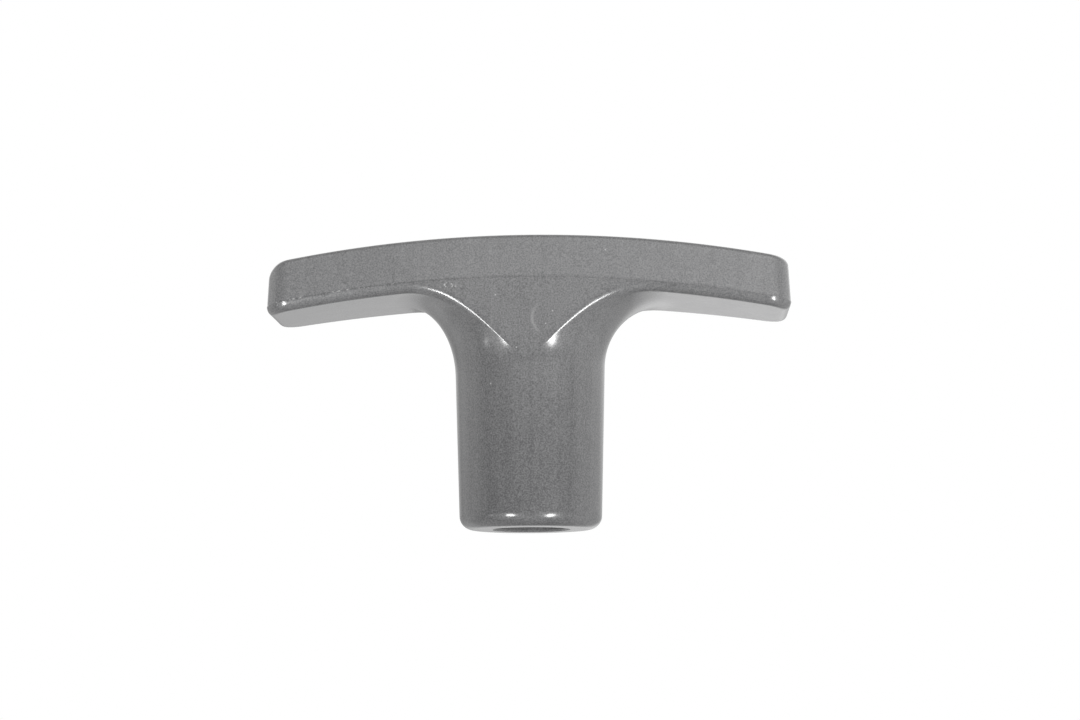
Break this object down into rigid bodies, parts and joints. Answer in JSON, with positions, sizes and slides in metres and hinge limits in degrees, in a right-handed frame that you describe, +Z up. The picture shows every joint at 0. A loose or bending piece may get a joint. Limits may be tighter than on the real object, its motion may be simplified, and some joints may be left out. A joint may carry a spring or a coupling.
{
  "type": "waste valve handle",
  "caption": "Grey moulded plastic T handle with an arched grip, a flared round stem and a stepped threaded socket for a valve's pull rod.",
  "frame": {"origin": "centre of the end ring of the stem, which is the bottom centre of the part's box", "axes": "+Z up the stem, from the socket's mouth to the grip; X along the grip; Y from the front of the grip to its back"},
  "size_m": [0.0762, 0.0226, 0.0418],
  "materials": {
    "grey_plastic": "mid-grey moulded plastic with a soft gloss and a very fine grain, and a fine mould parting line round the grip"
  },
  "bodies": {
    "root": {"handle": "grey_plastic"}
  },
  "joints": []
}
